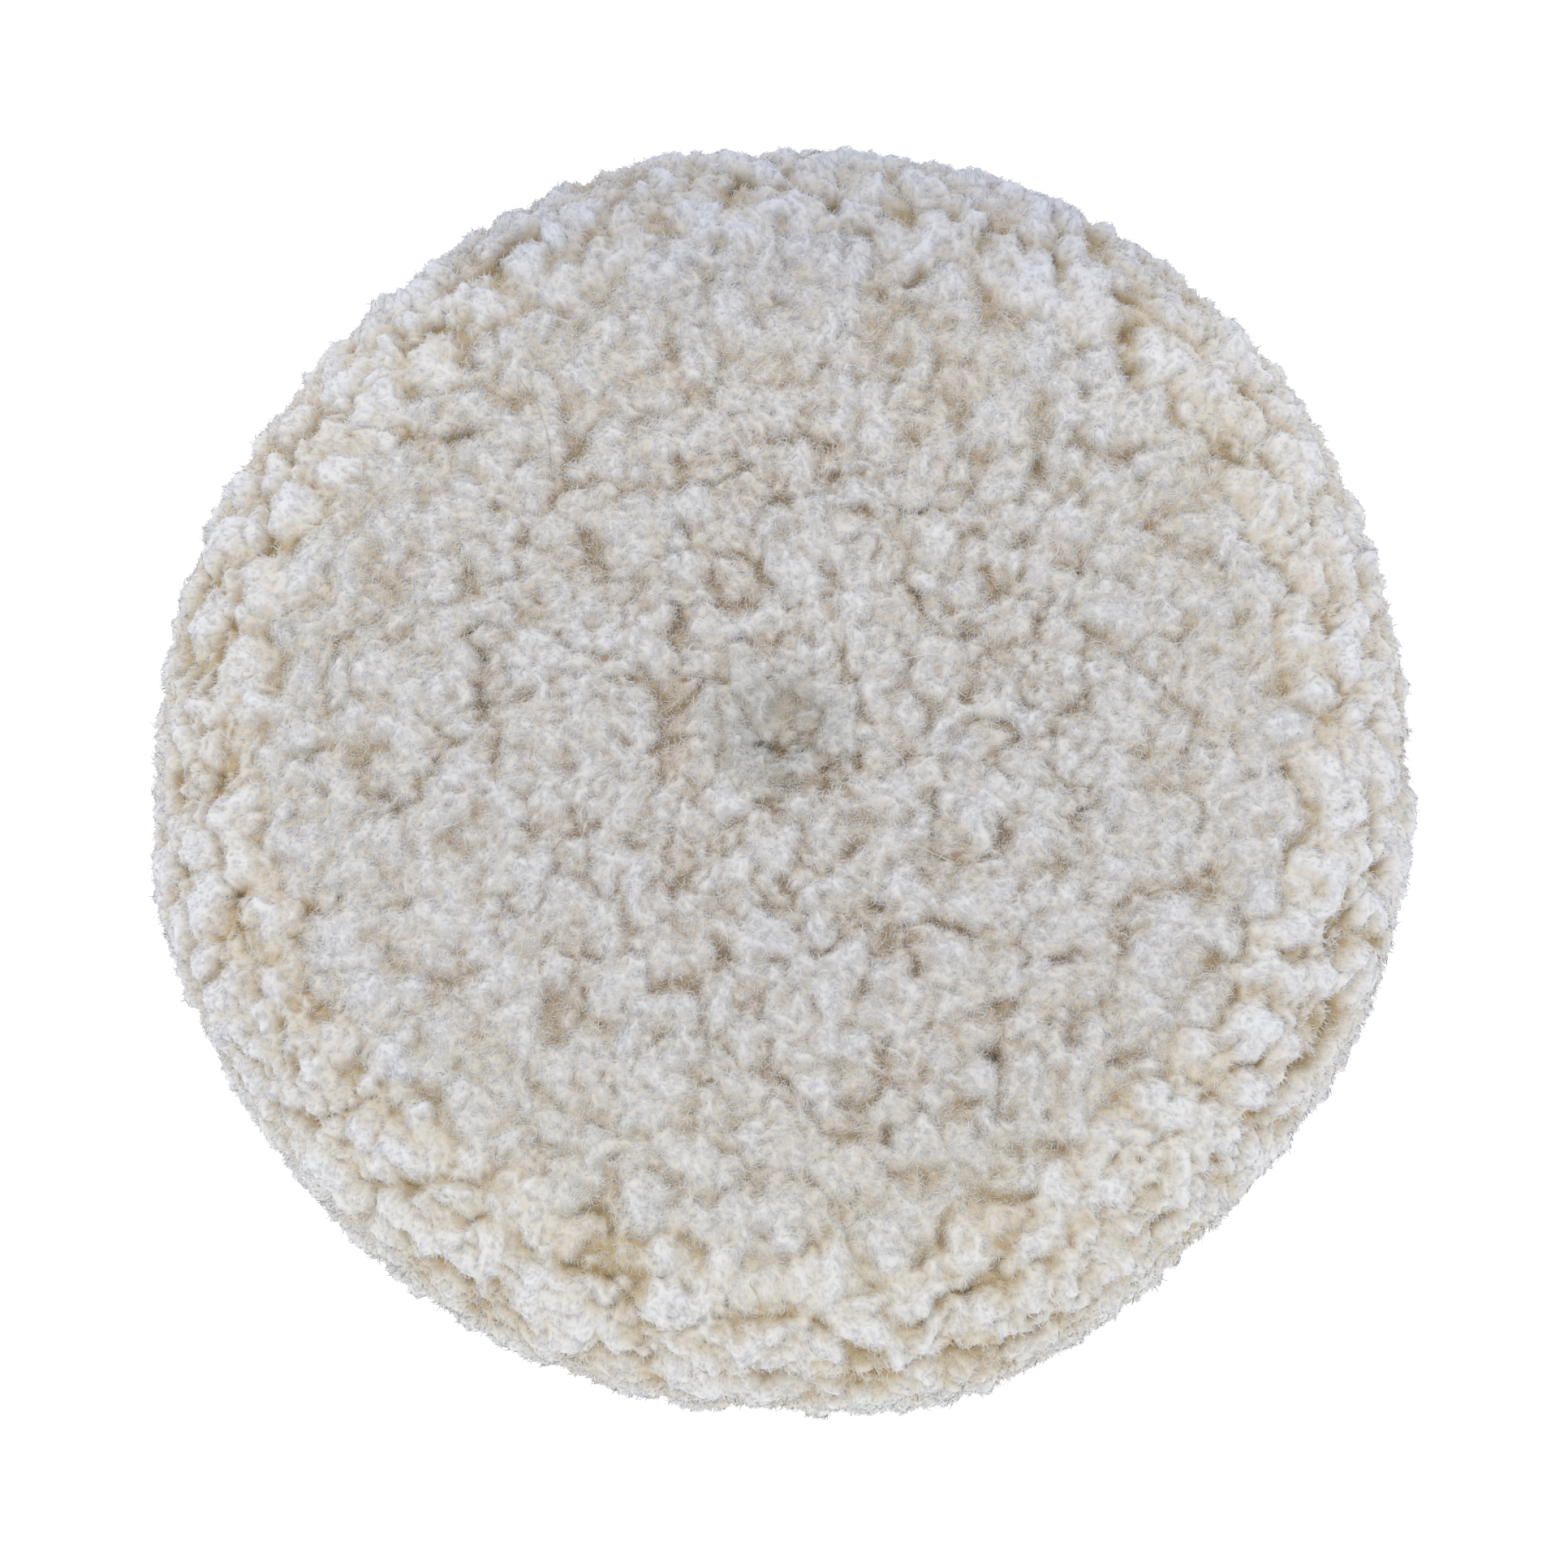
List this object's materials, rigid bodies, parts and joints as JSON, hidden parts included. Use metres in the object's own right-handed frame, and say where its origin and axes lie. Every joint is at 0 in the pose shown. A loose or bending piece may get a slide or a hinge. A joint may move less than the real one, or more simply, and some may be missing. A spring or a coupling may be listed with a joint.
{
  "type": "polishing pad",
  "caption": "Round tufted wool polishing pad with a rounded rim, a foam cushion and a flat hook-and-loop back with a centring hole.",
  "frame": {"origin": "centre of the loop face that grips the backing plate, at the bottom of the pad", "axes": "+Z out of the wool face, along the pad's spin axis; X and Y are across the pad"},
  "size_m": [0.18, 0.18, 0.035],
  "materials": {
    "wool": "soft cut wool pile, off-white, tan in the crevices",
    "canvas": "woven natural cotton",
    "latex": "matte rubber coat",
    "foam": "open-cell polyurethane foam",
    "bond_film": "hot-melt film",
    "loop_fabric": "brushed nylon loops",
    "stitch_thread": "polyester sewing thread"
  },
  "bodies": {
    "root": {"loop_disc": "loop_fabric", "bond_film": "bond_film", "foam_cushion": "foam", "latex_backcoat": "latex", "backing_canvas": "canvas", "hem_stitching": "stitch_thread", "hole_stitching": "stitch_thread", "pile_row_01": "wool", "pile_row_02": "wool", "pile_row_03": "wool", "pile_row_04": "wool", "pile_row_05": "wool", "pile_row_06": "wool", "pile_row_07": "wool", "pile_row_08": "wool", "pile_row_09": "wool", "pile_row_10": "wool", "pile_row_11": "wool", "pile_row_12": "wool", "pile_row_13": "wool", "pile_row_14": "wool", "pile_row_15": "wool", "pile_row_16": "wool"}
  },
  "joints": []
}
